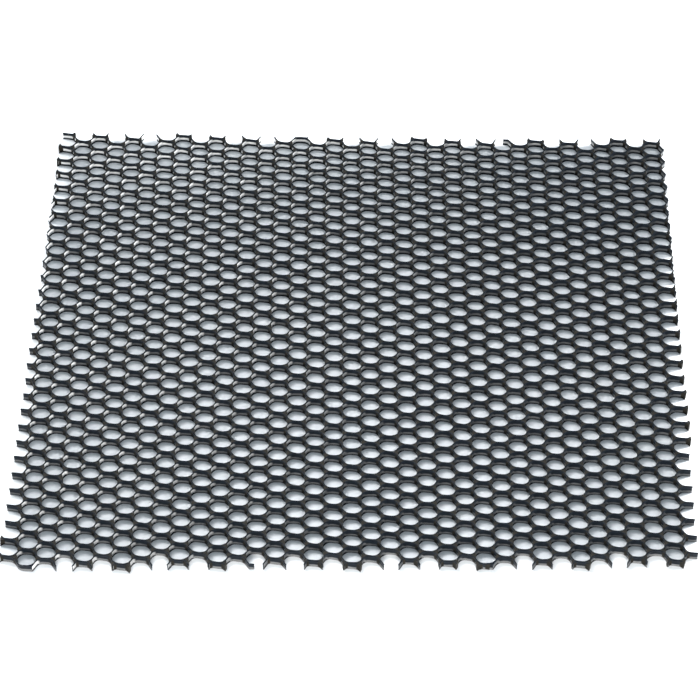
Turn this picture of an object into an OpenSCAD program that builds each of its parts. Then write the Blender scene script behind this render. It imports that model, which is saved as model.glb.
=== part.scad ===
// Bare honeycomb grid for a light: thin black aluminium foil ribbons, glued together at
// regular walls and pulled open into six-sided cells, then cut to a flat sheet.
// The ribbons run from left to right and lie edge to edge from the front to the back.
// The origin is at the centre of the sheet's underside, with +Z through the cells.

/* [Cell] */
// Width of a cell across its two bonded walls
cell_size = 6.35; // [6.3:0.05:12]
// Angle between the free walls and the front edge
free_wall_angle = 60; // [54:0.5:66]
// Fall of the bonded walls to the right, left by a slightly skewed pull
bonded_wall_fall = 7.8; // [0:0.1:9]

/* [Foil] */
// Thickness of the foil with its black coating
foil_t = 0.18; // [0.08:0.01:0.3]
// Thickness of the adhesive between two bonded walls
bond_t = 0.03; // [0.01:0.01:0.08]
// Depth of the sheet along the light, which is the width of every ribbon
sheet_t = 2.5; // [1:0.1:12]

/* [Cut outline] */
// Distance between the two front corners, from left to right
front_len = 200; // [150:1:202]
// Length of the left edge
left_len = 185.1; // [175:0.1:186]
// Length of the right edge
right_len = 179.6; // [170:0.1:181]
// Lean of the left edge to the right
left_lean = 1.9; // [0:0.1:2.5]
// Lean of the right edge to the right
right_lean = 0.9; // [0:0.1:1.2]
// How far the front edge rises from its left corner to its middle stretch
front_left_rise = 0.9; // [0:0.1:1.5]
// How far it rises from there to its right corner
front_right_rise = 1.3; // [0:0.1:2]
// How far the middle stretch of the back edge dips forward of its ends
back_dip = 0.9; // [0:0.1:2]
// How far the middle of the left edge bulges outward
left_bulge = 0.5; // [0:0.1:1]

/* [Uneven opening] */
// Largest sideways drift of the cells
sway = 0.26; // [0:0.01:0.5]
// Largest front to back drift of the cells
ripple = 0.76; // [0:0.01:1]
// How far the cells sag forward at the back right corner
corner_sag = 3.1; // [0:0.1:3.5]

/* [Hidden] */
foil_colour = "#1c2023";
bond_colour = "#6b6248";

// Cell walls, all of one length, as steps across the sheet
wall_len = cell_size / (2 * sin(free_wall_angle));
bonded_wall = wall_len * [cos(bonded_wall_fall), -sin(bonded_wall_fall)];
rising_wall = wall_len * [cos(free_wall_angle), sin(free_wall_angle)];
falling_wall = wall_len * [cos(free_wall_angle), -sin(free_wall_angle)];

// From a low bonded wall to the next high one, from low to low, and from row to row
step_up = bonded_wall + rising_wall;
wave = 2 * bonded_wall + rising_wall + falling_wall;
row_step = rising_wall - falling_wall;
ribbon_pitch = row_step.y / 2;

// Corners of the cut, with the middle stretch of the front edge along X
left_side = left_len * [sin(left_lean), cos(left_lean)];
right_side = right_len * [sin(right_lean), cos(right_lean)];
half_width = (front_len + right_side.x) / 2;
half_depth = left_side.y / 2;
front_left = [-half_width, -half_depth];
front_right = front_left + [front_len, front_left_rise + front_right_rise];
back_left = front_left + left_side;
back_right = front_right + right_side;
left_middle = (front_left + back_left) / 2 - [left_bulge, 0];

// The hand cut bends twice along the front edge and twice along the back edge, at these
// fractions of their lengths
front_bends = [0.3, 0.8];
back_bends = [0.38, 0.74];
cut_outline = concat(
    [front_left],
    [for (along = front_bends) front_left + [along * front_len, front_left_rise]],
    [front_right, back_right],
    [for (along = [back_bends[1], back_bends[0]]) between(back_left, back_right, along) - [0, back_dip]],
    [back_left, left_middle]
);

// Start of the first low bonded wall of the first ribbon, left of the front left corner
first_wall = front_left + [-4.9, 1.63];

ribbon_fall = -wave.y / wave.x;
sheet_span = back_right - first_wall + [0, corner_sag];
ribbon_count = ceil((sheet_span.y + sheet_span.x * ribbon_fall) / ribbon_pitch);
wall_count = 2 * ceil(2 * half_width / wave.x) + 3;

// The shortest ribbons, in the two corners that the fall cuts off, share a node each, and
// every other ribbon has a node of its own
front_corner_count = 5;
back_corner_count = 4;
most_own_nodes = 55;
last_own_ribbon = min(ribbon_count - back_corner_count, front_corner_count + most_own_nodes) - 1;

// The adhesive is in three bands from the front to the back
bond_band_names = ["front_glue_bonds", "middle_glue_bonds", "back_glue_bonds"];
bond_band_size = ceil(ribbon_count / len(bond_band_names));
// Length of foil left bare at each end of a bonded wall, and along each cut face
bond_margin = 0.1;
bond_recess = 0.05;

function ribbon_name(k) = str("ribbon_", k < 10 ? "0" : "", k);

function is_odd(n) = n - 2 * floor(n / 2) == 1;

function unit(v) = v / norm(v);

function between(p, q, fraction) = p + fraction * (q - p);

function normal(v) = unit([-v.y, v.x]);

// Where the line through p along u meets the line through q along w
function crossing(p, u, q, w) = p + u * cross(q - p, w) / cross(u, w);

// Uneven opening: a soft sway and ripple, and a sag that grows towards one corner
function drift(p) =
    let (
        across = p.x / half_width,
        along = p.y / half_depth,
        to_right = max(0, (1 + across) / 2),
        to_back = max(0, (1 + along) / 2)
    )
    [
        sway * cos(200 * (across - 0.25)),
        ripple * cos(85 * across) * sin(180 * (along + 0.04)) - corner_sag * to_right * pow(to_back, 4)
    ];

// Start of the ribbon's first low bonded wall
function ribbon_start(k) =
    first_wall + floor(k / 2) * row_step + (is_odd(k) ? step_up : [0, 0]);

// Bends of a ribbon from left to right: each bonded wall m starts at bend 2m and ends at 2m + 1
function bend(k, i) =
    let (
        m = floor(i / 2),
        start = ribbon_start(k) + floor(m / 2) * wave + (is_odd(m) ? step_up : [0, 0]),
        point = is_odd(i) ? start + bonded_wall : start
    )
    point + drift(point);

// How far wall i of a ribbon lies off the line of bends: bonded walls make room for each other
function seat(i) =
    let (m = floor(i / 2))
    is_odd(i) ? 0 : (is_odd(m) ? -1 : 1) * (foil_t + bond_t) / 2;

// A point on one face of wall i, on the upper face (+1) or the lower one (-1)
function face_point(k, i, face) =
    bend(k, i) + (seat(i) + face * foil_t / 2) * normal(bend(k, i + 1) - bend(k, i));

// Corner of one face of the foil at bend i
function face_corner(k, i, face) =
    crossing(
        face_point(k, i - 1, face), bend(k, i) - bend(k, i - 1),
        face_point(k, i, face), bend(k, i + 1) - bend(k, i)
    );

function ribbon_outline(k) =
    let (last = 2 * wall_count)
    concat(
        [for (i = [-3:last]) face_corner(k, i, 1)],
        [for (i = [last:-1:-3]) face_corner(k, i, -1)]
    );

// Adhesive on the high bonded wall m of ribbon k, as a thin rectangle between two foils
function bond_outline(k, m) =
    let (
        start = bend(k, 2 * m),
        end = bend(k, 2 * m + 1),
        inset = bond_margin * unit(end - start),
        rise = bond_t / 2 * normal(end - start)
    )
    [start + inset - rise, end - inset - rise, end - inset + rise, start + inset + rise];

// Whether a bonded wall can reach the cut sheet at all
function near_sheet(p) =
    abs(p.x) < half_width + wall_len && abs(p.y) < half_depth + wall_len;

module cut_to_sheet() {
    intersection() {
        children();
        translate([0, 0, -sheet_t])
            linear_extrude(3 * sheet_t)
                polygon(cut_outline);
    }
}

module ribbons(first, last) {
    color(foil_colour)
        for (k = [first:last])
            cut_to_sheet()
                linear_extrude(sheet_t)
                    polygon(ribbon_outline(k));
}

module bonds(band) {
    first = band * bond_band_size;
    last = min(first + bond_band_size, ribbon_count - 1) - 1;
    color(bond_colour)
        cut_to_sheet()
            for (k = [first:last])
                for (m = [-1:2:wall_count])
                    if (near_sheet(bend(k, 2 * m)))
                        translate([0, 0, bond_recess])
                            linear_extrude(sheet_t - 2 * bond_recess)
                                polygon(bond_outline(k, m));
}

ribbons(0, front_corner_count - 1);  // front_corner_ribbons
for (k = [front_corner_count:last_own_ribbon])
    ribbons(k, k);
ribbons(last_own_ribbon + 1, ribbon_count - 1);  // back_corner_ribbons
for (band = [0:len(bond_band_names) - 1])
    bonds(band);
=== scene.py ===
"""Bare honeycomb light grid: rounded foil ribbons and glue beads around the CAD frame, on a pale floor."""

import math
import random

import bmesh
import bpy
import numpy as np
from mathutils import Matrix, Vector
from mathutils.geometry import tessellate_polygon
from mathutils.kdtree import KDTree


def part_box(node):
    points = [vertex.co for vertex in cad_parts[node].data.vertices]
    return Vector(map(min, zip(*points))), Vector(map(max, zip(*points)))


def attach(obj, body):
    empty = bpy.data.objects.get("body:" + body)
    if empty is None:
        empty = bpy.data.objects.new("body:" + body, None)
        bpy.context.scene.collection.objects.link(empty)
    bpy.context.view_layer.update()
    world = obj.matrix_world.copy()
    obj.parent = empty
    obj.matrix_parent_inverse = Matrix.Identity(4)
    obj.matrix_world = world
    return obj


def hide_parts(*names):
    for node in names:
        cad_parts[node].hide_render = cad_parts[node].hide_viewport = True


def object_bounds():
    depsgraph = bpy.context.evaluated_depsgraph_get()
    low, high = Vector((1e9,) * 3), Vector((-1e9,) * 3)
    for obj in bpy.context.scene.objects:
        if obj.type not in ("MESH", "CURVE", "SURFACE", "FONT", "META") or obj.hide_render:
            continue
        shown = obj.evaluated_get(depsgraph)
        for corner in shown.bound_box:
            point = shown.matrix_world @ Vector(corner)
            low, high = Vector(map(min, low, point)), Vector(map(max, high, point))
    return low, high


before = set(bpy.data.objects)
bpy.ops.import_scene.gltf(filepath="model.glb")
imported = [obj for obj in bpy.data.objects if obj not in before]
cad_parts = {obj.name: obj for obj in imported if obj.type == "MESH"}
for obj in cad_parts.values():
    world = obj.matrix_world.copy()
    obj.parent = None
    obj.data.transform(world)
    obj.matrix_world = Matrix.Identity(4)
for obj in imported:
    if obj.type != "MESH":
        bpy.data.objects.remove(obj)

MM = 0.001
BODY = "root"

cad_low, cad_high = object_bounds()

# ---------------------------------------------------------------- sizes, in millimetres

# Meshes are built in millimetres and brought to metres at the end.
FOIL_T = 0.18               # foil with its coating
BEND_R = 2.3                # radius of the foil's middle line at a bend
BEND_LEAST = math.radians(30)  # a foil bend turns more than this
BEND_MOST = math.radians(75)   # and less than this
BEND_HALF = math.radians(30)   # half the turn of an average bend
BEND_SHARE = 0.48           # most of a wall that the rounding of one bend may take
BEND_STEPS = 4              # segments in each rounded bend
WALL_STEP = 0.9             # longest segment of a wall
RIM_BEVEL = 0.03            # rounding of the cut rims
RIM_BEAD = 0.09             # how far the coating swells out along the cut rims
# (height above the underside or depth below the top, inset) of the rings next to a rim
RIM_RINGS = ((0.0, RIM_BEVEL), (0.06, -RIM_BEAD), (0.16, -RIM_BEAD), (0.34, 0.0))
BEAD_ANGLE = math.radians(56)  # how far the glue climbs round a bend
BEAD_STEPS = 4              # segments in each side of a bead
BEAD_BULGE = 0.30           # how far the front of a bead bulges out
PAD_MARGIN = 0.1            # a glue pad stops this far short of the bend
PAD_LEAST = 0.55            # half the length of the shortest glue pad that gets a bead
BEND_NEAR = 0.4             # a glue pad ends at a bend if one is this close
BEAD_SINK = 0.05            # the glue reaches this far into the foil, so no gap shows
SHARP_EDGE = math.radians(40)  # edges that turn more than this are shaded sharp

SHEET_T = (cad_high.z - cad_low.z) / MM

# The coating is thin in a band low on the walls, where bare metal shows. The band climbs and grows from
# the near edge to the far edge as painted highlight, for the brighter far rows. On walls turned towards
# the right-hand light, painted sheen reaches nearly to the top.
BARE_BAND_AND_HIGHLIGHT = ((0.20, 0.0), (0.30, 1.0), (0.56, 1.0), (0.68, 0.0))  # (share of height, bare metal and painted highlight)
BAND_WANDER = 0.07                       # how far the band wanders up and down, of the height
BAND_DROP = 0.26                         # how much lower the band lies at the near edge, of the height
BARE_AND_HIGHLIGHT_TOWARDS = (-0.17, 0.98, 0.0)        # the way the bare metal and painted highlight grow
BARE_AND_HIGHLIGHT_REACH = (-0.09, 0.09)               # ends of that way, in metres from the middle
# (share of that way, bare metal and painted highlight)
BARE_AND_HIGHLIGHT_SHARE = ((0.0, 0.14), (0.45, 0.10), (0.70, 0.08), (0.88, 0.20), (1.0, 0.80))
BAND_PATCHES = 0.65                      # least bare metal and painted light in the better coated patches
SHEEN_FACING = (0.87, -0.50, 0.0)           # walls turned this way, towards the right-hand light, get a painted sheen of light metal up to near the top
SHEEN_MATCH = (0.75, 0.92)              # how directly they face that way, from none to all
SHEEN_BAND = ((0.20, 0.0), (0.30, 1.0), (0.76, 1.0), (0.88, 0.0))  # (share of height, painted sheen)
SHEEN_TOWARDS = (-0.90, 0.43, 0.0)      # the way their painted sheen grows
SHEEN_REACH = (-0.03, 0.085)            # ends of that way, in metres from the middle

FLOOR_HALF = 3.0            # half the width of the floor, in metres


# ---------------------------------------------------------------- unevenness of real foil

def wave_field(count, wavelength, size, seed):
    """A smooth random vector field over the sheet: the sum of a few plane waves."""
    draw = random.Random(seed)
    waves = []
    for _ in range(count):
        heading = draw.uniform(0, 2 * math.pi)
        number = 2 * math.pi / (wavelength * draw.uniform(0.7, 1.5))
        push = draw.uniform(0, 2 * math.pi)
        waves.append((
            number * math.cos(heading), number * math.sin(heading), draw.uniform(0, 2 * math.pi),
            math.cos(push), math.sin(push),
        ))
    scale = size * math.sqrt(2 / count)

    def field(xy):
        total = np.zeros_like(xy)
        for kx, ky, phase, px, py in waves:
            swing = scale * np.cos(kx * xy[:, 0] + ky * xy[:, 1] + phase)
            total[:, 0] += swing * px
            total[:, 1] += swing * py
        return total

    return field


# cells pushed a little off the lattice
cell_shift = wave_field(count=14, wavelength=9.0, size=0.10, seed=3)
# foil that is not quite flat
wall_ripple = wave_field(count=18, wavelength=3.2, size=0.035, seed=5)
# tops of the walls pushed aside
wall_lean = wave_field(count=14, wavelength=14.0, size=0.10, seed=7)


def unevenness(points):
    """Moves points of the true lattice to where the slightly crushed foil has them."""
    xy = points[:, :2]
    height = points[:, 2:3] / SHEET_T - 0.5
    moved = points.copy()
    moved[:, :2] += cell_shift(xy) + wall_ripple(xy) + wall_lean(xy) * height
    return moved


# ---------------------------------------------------------------- outlines read from the CAD nodes

def solid_outlines(node):
    """Outline of the underside of every solid of a CAD node, counter-clockwise, as arrays of x, y."""
    bm = bmesh.new()
    bm.from_mesh(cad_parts[node].data)
    bmesh.ops.remove_doubles(bm, verts=bm.verts, dist=1e-6)
    under = {face for face in bm.faces if face.normal.z < -0.9}
    follows = {}
    for face in under:
        for loop in face.loops:
            others = [f for f in loop.edge.link_faces if f is not face]
            if not others or others[0] not in under:
                follows[loop.vert] = loop.link_loop_next.vert
    outlines = []
    while follows:
        first, vert = follows.popitem()
        ring = [first]
        while vert is not first:
            ring.append(vert)
            vert = follows.pop(vert)
        # the underside is seen from above, so its outline runs the other way round
        outlines.append(np.array([v.co[:2] for v in reversed(ring)]) / MM)
    bm.free()
    return outlines


def turn_at(before, here, after):
    """Signed turn of an outline at one of its points."""
    a = here - before
    b = after - here
    return math.atan2(a[0] * b[1] - a[1] * b[0], a[0] * b[0] + a[1] * b[1])


def is_bend(turn):
    """Whether the foil bends here, where the cut ends turn more sharply."""
    return BEND_LEAST < abs(turn) < BEND_MOST


def rounded(outline):
    """The outline with each foil bend rounded about the foil's middle line, and long walls divided."""
    count = len(outline)
    points = []
    for i in range(count):
        before, here, after = outline[i - 1], outline[i], outline[(i + 1) % count]
        run_in = np.linalg.norm(here - before)
        run_out = np.linalg.norm(after - here)
        turn = turn_at(before, here, after)
        radius = BEND_R + math.copysign(FOIL_T / 2, turn)
        reach = radius * math.tan(abs(turn) / 2)
        if is_bend(turn) and reach < BEND_SHARE * min(run_in, run_out):
            a = (here - before) / run_in
            start = here - reach * a
            side = math.copysign(1.0, turn) * np.array([-a[1], a[0]])
            centre = start + radius * side
            for step in range(BEND_STEPS + 1):
                angle = abs(turn) * step / BEND_STEPS
                points.append(centre - radius * (math.cos(angle) * side - math.sin(angle) * a))
        else:
            points.append(here)
    return divided(np.array(points))


def all_bends(outlines):
    """A search tree of the points where the foil bends."""
    bends = []
    for outline in outlines:
        for i in range(len(outline)):
            if is_bend(turn_at(outline[i - 1], outline[i], outline[(i + 1) % len(outline)])):
                bends.append(outline[i])
    tree = KDTree(len(bends))
    for i, (x, y) in enumerate(bends):
        tree.insert((x, y, 0.0), i)
    tree.balance()
    return tree


def divided(points):
    """Adds points along the straight stretches, so that they can ripple."""
    result = []
    for here, after in zip(points, np.roll(points, -1, axis=0)):
        length = np.linalg.norm(after - here)
        pieces = max(1, math.ceil(length / WALL_STEP))
        for step in range(pieces):
            result.append(here + (after - here) * step / pieces)
    return np.array(result)


def inset(points, distance):
    """The outline moved inwards by a small distance."""
    ahead = np.roll(points, -1, axis=0) - points
    behind = points - np.roll(points, 1, axis=0)
    ahead /= np.maximum(np.linalg.norm(ahead, axis=1, keepdims=True), 1e-12)
    behind /= np.maximum(np.linalg.norm(behind, axis=1, keepdims=True), 1e-12)
    along = ahead + behind
    along /= np.maximum(np.linalg.norm(along, axis=1, keepdims=True), 1e-12)
    inward = np.stack([-along[:, 1], along[:, 0]], axis=1)
    return points + distance * inward


# ---------------------------------------------------------------- building pieces

def upright_shell(bm, outline, rings):
    """Adds a closed upright wall to a mesh: rings are (height, inset) pairs from the bottom up."""
    loops = []
    for height, step_in in rings:
        flat = inset(outline, step_in) if step_in else outline
        points = np.column_stack([flat, np.full(len(flat), height)])
        loops.append([bm.verts.new(p) for p in unevenness(points)])
    count = len(outline)
    for low, high in zip(loops, loops[1:]):
        for i in range(count):
            j = (i + 1) % count
            bm.faces.new((low[i], low[j], high[j], high[i])).smooth = True
    # the tessellator's triangles run counter-clockwise, like the outline
    for a, b, c in tessellate_polygon([[Vector((x, y, 0.0)) for x, y in outline]]):
        bm.faces.new((loops[0][c], loops[0][b], loops[0][a]))
        bm.faces.new((loops[-1][a], loops[-1][b], loops[-1][c]))


def finish_piece(bm, name, node, material):
    """Turns a mesh in millimetres into a piece that stands for a CAD node."""
    mesh = bpy.data.meshes.new(name)
    bmesh.ops.scale(bm, vec=(MM, MM, MM), verts=bm.verts)
    bm.to_mesh(mesh)
    bm.free()
    mesh.set_sharp_from_angle(angle=SHARP_EDGE)
    mesh.materials.append(material)
    piece = bpy.data.objects.new(name, mesh)
    bpy.context.scene.collection.objects.link(piece)
    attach(piece, BODY)
    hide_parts(node)


def foil_piece(node, outlines, material):
    """Ribbons with rounded bends and a bead of coating along both rims."""
    low, high = (corner.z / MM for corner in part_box(node))
    rings = [(low + rise, step_in) for rise, step_in in RIM_RINGS]
    rings.append(((low + high) / 2, 0.0))
    rings.extend((high - fall, step_in) for fall, step_in in reversed(RIM_RINGS))
    bm = bmesh.new()
    for outline in outlines:
        upright_shell(bm, rounded(outline), rings)
    finish_piece(bm, "foil_" + node, node, material)


def bead_end(half_length, half_gap):
    """Right end of a glue pad with the bead that fills the wedge between the two foils."""
    outer_r = BEND_R + FOIL_T / 2
    straight = half_length - BEND_R * math.tan(BEND_HALF) + PAD_MARGIN
    arc = []
    for step in range(BEAD_STEPS + 1):
        angle = BEAD_ANGLE * step / BEAD_STEPS
        climb = outer_r * (1 - math.cos(angle))
        arc.append((straight + outer_r * math.sin(angle), half_gap + BEAD_SINK + climb))
    front = (arc[-1][0] + BEAD_BULGE, 0.0)
    return [(x, -y) for x, y in arc] + [front] + [(x, y) for x, y in reversed(arc)]


def bead_outline(pad, bends):
    """A glue pad with a bead at each end where the foils part, and none where the sheet was cut."""
    sides = np.roll(pad, -1, axis=0) - pad
    lengths = np.linalg.norm(sides, axis=1)
    first = int(np.argmax(lengths))
    along_pad = sides[first] / lengths[first]
    across = np.array([-along_pad[1], along_pad[0]])
    middle = pad.mean(axis=0)
    half_length = lengths[first] / 2
    half_gap = np.sort(lengths)[1] / 2
    if len(pad) != 4 or half_length < PAD_LEAST:
        return pad
    cut_end = [(half_length, -half_gap), (half_length, half_gap)]
    points = []
    for side in (1, -1):
        tip = middle + side * half_length * along_pad
        foils_part = bends.find((*tip, 0.0))[2] < BEND_NEAR
        end = bead_end(half_length, half_gap) if foils_part else cut_end
        points.extend(middle + side * (x * along_pad + y * across) for x, y in end)
    return np.array(points)


def bond_piece(node, bends, material):
    """Glue pads with their beads."""
    low, high = (corner.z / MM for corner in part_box(node))
    rings = [(low, 0.0), ((low + high) / 2, 0.0), (high, 0.0)]
    bm = bmesh.new()
    for pad in solid_outlines(node):
        upright_shell(bm, bead_outline(pad, bends), rings)
    finish_piece(bm, node.replace("bonds", "beads"), node, material)


# ---------------------------------------------------------------- materials

def new_material(name):
    material = bpy.data.materials.new(name)
    material.use_nodes = True
    tree = material.node_tree
    shader = tree.nodes["Principled BSDF"]
    coords = tree.nodes.new("ShaderNodeTexCoord")
    return material, tree, shader, coords.outputs["Object"]


def noise(tree, vector, scale, detail=3.0, rough=0.55):
    node = tree.nodes.new("ShaderNodeTexNoise")
    node.inputs["Scale"].default_value = scale
    node.inputs["Detail"].default_value = detail
    node.inputs["Roughness"].default_value = rough
    tree.links.new(vector, node.inputs["Vector"])
    return node.outputs["Fac"]


def ramp(tree, value, stops):
    node = tree.nodes.new("ShaderNodeValToRGB")
    elements = node.color_ramp.elements
    while len(elements) < len(stops):
        elements.new(0.5)
    for element, (place, colour) in zip(elements, stops):
        element.position = place
        element.color = (*colour, 1.0)
    tree.links.new(value, node.inputs["Fac"])
    return node.outputs["Color"]


def spread(tree, value, low, high, from_low=0.3, from_high=0.7):
    node = tree.nodes.new("ShaderNodeMapRange")
    node.inputs["From Min"].default_value = from_low
    node.inputs["From Max"].default_value = from_high
    node.inputs["To Min"].default_value = low
    node.inputs["To Max"].default_value = high
    tree.links.new(value, node.inputs["Value"])
    return node.outputs["Result"]


def bump(tree, shader, value, distance, strength=1.0):
    node = tree.nodes.new("ShaderNodeBump")
    node.inputs["Distance"].default_value = distance
    node.inputs["Strength"].default_value = strength
    tree.links.new(value, node.inputs["Height"])
    tree.links.new(node.outputs["Normal"], shader.inputs["Normal"])


def mixed(tree, share, first, second):
    node = tree.nodes.new("ShaderNodeMix")
    node.data_type = "RGBA"
    tree.links.new(share, node.inputs["Factor"])
    tree.links.new(first, node.inputs["A"])
    tree.links.new(second, node.inputs["B"])
    return node.outputs["Result"]


def greys(stops):
    return [(place, (value, value, value)) for place, value in stops]


def along(tree, vector, direction):
    """How far a vector reaches in a direction."""
    node = tree.nodes.new("ShaderNodeVectorMath")
    node.operation = "DOT_PRODUCT"
    node.inputs[1].default_value = direction
    tree.links.new(vector, node.inputs[0])
    return node.outputs["Value"]


def combined(tree, operation, first, second):
    node = tree.nodes.new("ShaderNodeMath")
    node.operation = operation
    for socket, value in zip(node.inputs, (first, second)):
        if isinstance(value, float):
            socket.default_value = value
        else:
            tree.links.new(value, socket)
    return node.outputs["Value"]


def thin_coating_and_painted_light(tree, place):
    """Share of bare metal showing through the coating, with painted highlight and painted sheen in the
    same share.
    """
    way = spread(tree, along(tree, place, BARE_AND_HIGHLIGHT_TOWARDS), 0.0, 1.0, *BARE_AND_HIGHLIGHT_REACH)
    geometry = tree.nodes.new("ShaderNodeNewGeometry")
    # walls facing the right-hand light: painted sheen
    faces_light = spread(tree, along(tree, geometry.outputs["Normal"], SHEEN_FACING), 0.0, 1.0, *SHEEN_MATCH)
    drop = spread(tree, combined(tree, "MAXIMUM", way, faces_light), BAND_DROP, 0.0, 0.0, 1.0)
    wander = spread(tree, noise(tree, place, 300.0), -BAND_WANDER, BAND_WANDER)
    height = along(tree, place, (0.0, 0.0, 1.0 / (SHEET_T * MM)))
    height = combined(tree, "ADD", height, combined(tree, "ADD", drop, wander))
    band = ramp(tree, height, greys(BARE_BAND_AND_HIGHLIGHT))
    # the band's growth towards the far edge is painted highlight
    band_and_highlight = combined(tree, "MULTIPLY", band, ramp(tree, way, greys(BARE_AND_HIGHLIGHT_SHARE)))
    # painted sheen on those walls, growing towards the far left
    sheen_here = spread(tree, along(tree, place, SHEEN_TOWARDS), 0.0, 1.0, *SHEEN_REACH)
    painted_sheen = combined(tree, "MULTIPLY", faces_light, sheen_here)
    painted_sheen = combined(tree, "MULTIPLY", painted_sheen, ramp(tree, height, greys(SHEEN_BAND)))
    patches = spread(tree, noise(tree, place, 120.0), BAND_PATCHES, 1.0)
    return combined(tree, "MULTIPLY", combined(tree, "MAXIMUM", band_and_highlight, painted_sheen), patches)


def coated_foil():
    material, tree, shader, place = new_material("coated_foil_detail")
    bare_and_painted_light = thin_coating_and_painted_light(tree, place)
    blacks = [(0.3, (0.003, 0.004, 0.006)), (0.7, (0.006, 0.009, 0.013))]
    # light metal colour: bare metal, painted highlight and painted sheen
    metal_and_light_greys = [(0.3, (0.80, 0.80, 0.79)), (0.7, (0.95, 0.95, 0.94))]
    black = ramp(tree, noise(tree, place, 900.0), blacks)
    metal_and_light_tint = ramp(tree, noise(tree, place, 500.0), metal_and_light_greys)
    tree.links.new(mixed(tree, bare_and_painted_light, black, metal_and_light_tint), shader.inputs["Base Color"])
    tree.links.new(combined(tree, "MULTIPLY", bare_and_painted_light, 0.55), shader.inputs["Metallic"])
    satin = spread(tree, noise(tree, place, 1600.0), 0.30, 0.44)
    dull = combined(tree, "MULTIPLY", bare_and_painted_light, 0.22)
    tree.links.new(combined(tree, "ADD", satin, dull), shader.inputs["Roughness"])
    shader.inputs["Specular IOR Level"].default_value = 0.08
    bump(tree, shader, noise(tree, place, 2500.0), distance=0.02 * MM, strength=0.6)
    return material


def adhesive():
    material, tree, shader, place = new_material("adhesive_detail")
    browns = [(0.3, (0.006, 0.006, 0.005)), (0.7, (0.015, 0.013, 0.010))]
    colour = ramp(tree, noise(tree, place, 1200.0), browns)
    tree.links.new(colour, shader.inputs["Base Color"])
    shader.inputs["Roughness"].default_value = 0.5
    shader.inputs["Specular IOR Level"].default_value = 0.08
    bump(tree, shader, noise(tree, place, 2500.0), distance=0.02 * MM, strength=0.5)
    return material


def pale_floor():
    material, tree, shader, place = new_material("pale_floor")
    pales = [(0.3, (0.80, 0.82, 0.84)), (0.7, (0.84, 0.85, 0.86))]
    colour = ramp(tree, noise(tree, place, 40.0), pales)
    tree.links.new(colour, shader.inputs["Base Color"])
    shader.inputs["Roughness"].default_value = 0.5
    return material


# ---------------------------------------------------------------- the sheet

foil = coated_foil()
glue = adhesive()
bond_nodes = [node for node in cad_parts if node.endswith("glue_bonds")]
foil_outlines = {node: solid_outlines(node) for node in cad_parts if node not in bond_nodes}
for node, outlines in foil_outlines.items():
    foil_piece(node, outlines, foil)
bends = all_bends(outline for outlines in foil_outlines.values() for outline in outlines)
for node in bond_nodes:
    bond_piece(node, bends, glue)


# ---------------------------------------------------------------- floor, lights and camera

def make_floor():
    mesh = bpy.data.meshes.new("floor")
    signs = [(-1, -1), (1, -1), (1, 1), (-1, 1)]
    corners = [(x * FLOOR_HALF, y * FLOOR_HALF, cad_low.z) for x, y in signs]
    mesh.from_pydata(corners, [], [(0, 1, 2, 3)])
    mesh.materials.append(pale_floor())
    floor = bpy.data.objects.new("floor", mesh)
    bpy.context.scene.collection.objects.link(floor)


def aim(thing, target):
    thing.rotation_euler = (target - thing.location).to_track_quat("-Z", "Y").to_euler()


def add_light(lamp, place, target):
    holder = bpy.data.objects.new(lamp.name, lamp)
    bpy.context.scene.collection.objects.link(holder)
    holder.location = Vector(place)
    aim(holder, Vector(target))


def soft_light(name, place, width, depth, power, colour=(1.0, 1.0, 1.0)):
    """A soft rectangular light aimed at the middle of the sheet."""
    lamp = bpy.data.lights.new(name, "AREA")
    lamp.shape = "RECTANGLE"
    lamp.size = width
    lamp.size_y = depth
    lamp.energy = power
    lamp.color = colour
    add_light(lamp, place, (0, 0, 0))


def soft_spot(name, place, target, cone, power):
    """A soft light that reaches only one part of the scene."""
    lamp = bpy.data.lights.new(name, "SPOT")
    lamp.shadow_soft_size = 0.12
    lamp.spot_size = cone
    lamp.spot_blend = 1.0
    lamp.energy = power
    add_light(lamp, place, target)


def surround(colour, strength):
    world = bpy.data.worlds.new("surround")
    world.use_nodes = True
    background = world.node_tree.nodes["Background"]
    background.inputs["Color"].default_value = (*colour, 1.0)
    background.inputs["Strength"].default_value = strength
    bpy.context.scene.world = world


def make_camera():
    view_angle = math.radians(46.05)
    distance = 0.9155
    target = Vector((-1.1 * MM, -4.3 * MM, cad_low.z))
    camera = bpy.data.cameras.new("camera")
    camera.sensor_width = 36.0
    camera.lens = 153.73
    camera.clip_start = 0.01
    holder = bpy.data.objects.new("camera", camera)
    bpy.context.scene.collection.objects.link(holder)
    holder.location = target + distance * Vector((0, -math.cos(view_angle), math.sin(view_angle)))
    aim(holder, target)
    bpy.context.scene.camera = holder


make_floor()
surround(colour=(0.81, 0.92, 1.0), strength=0.71)
# the spots brighten the cells at the near edge and at the far right
soft_spot("near_light", (-0.18, 0.22, 0.50), (0.03, -0.14, 0), cone=math.radians(38), power=14.0)
soft_spot("far_light", (0.12, 0.28, 0.55), (0.065, 0.055, 0), cone=math.radians(24), power=5.0)
# the low lights reach the walls and the open floor, but not the floor of the cells
soft_light("left_light", (-0.95, 0.35, 0.30), width=0.4, depth=0.15, power=18.0)
soft_light("right_light", (0.95, 0.35, 0.30), width=0.4, depth=0.15, power=45.0)
soft_light("front_light", (0.0, -1.0, 0.28), width=0.5, depth=0.15, power=20.0, colour=(1.0, 0.98, 0.95))
make_camera()
bpy.context.scene.view_settings.view_transform = "Standard"
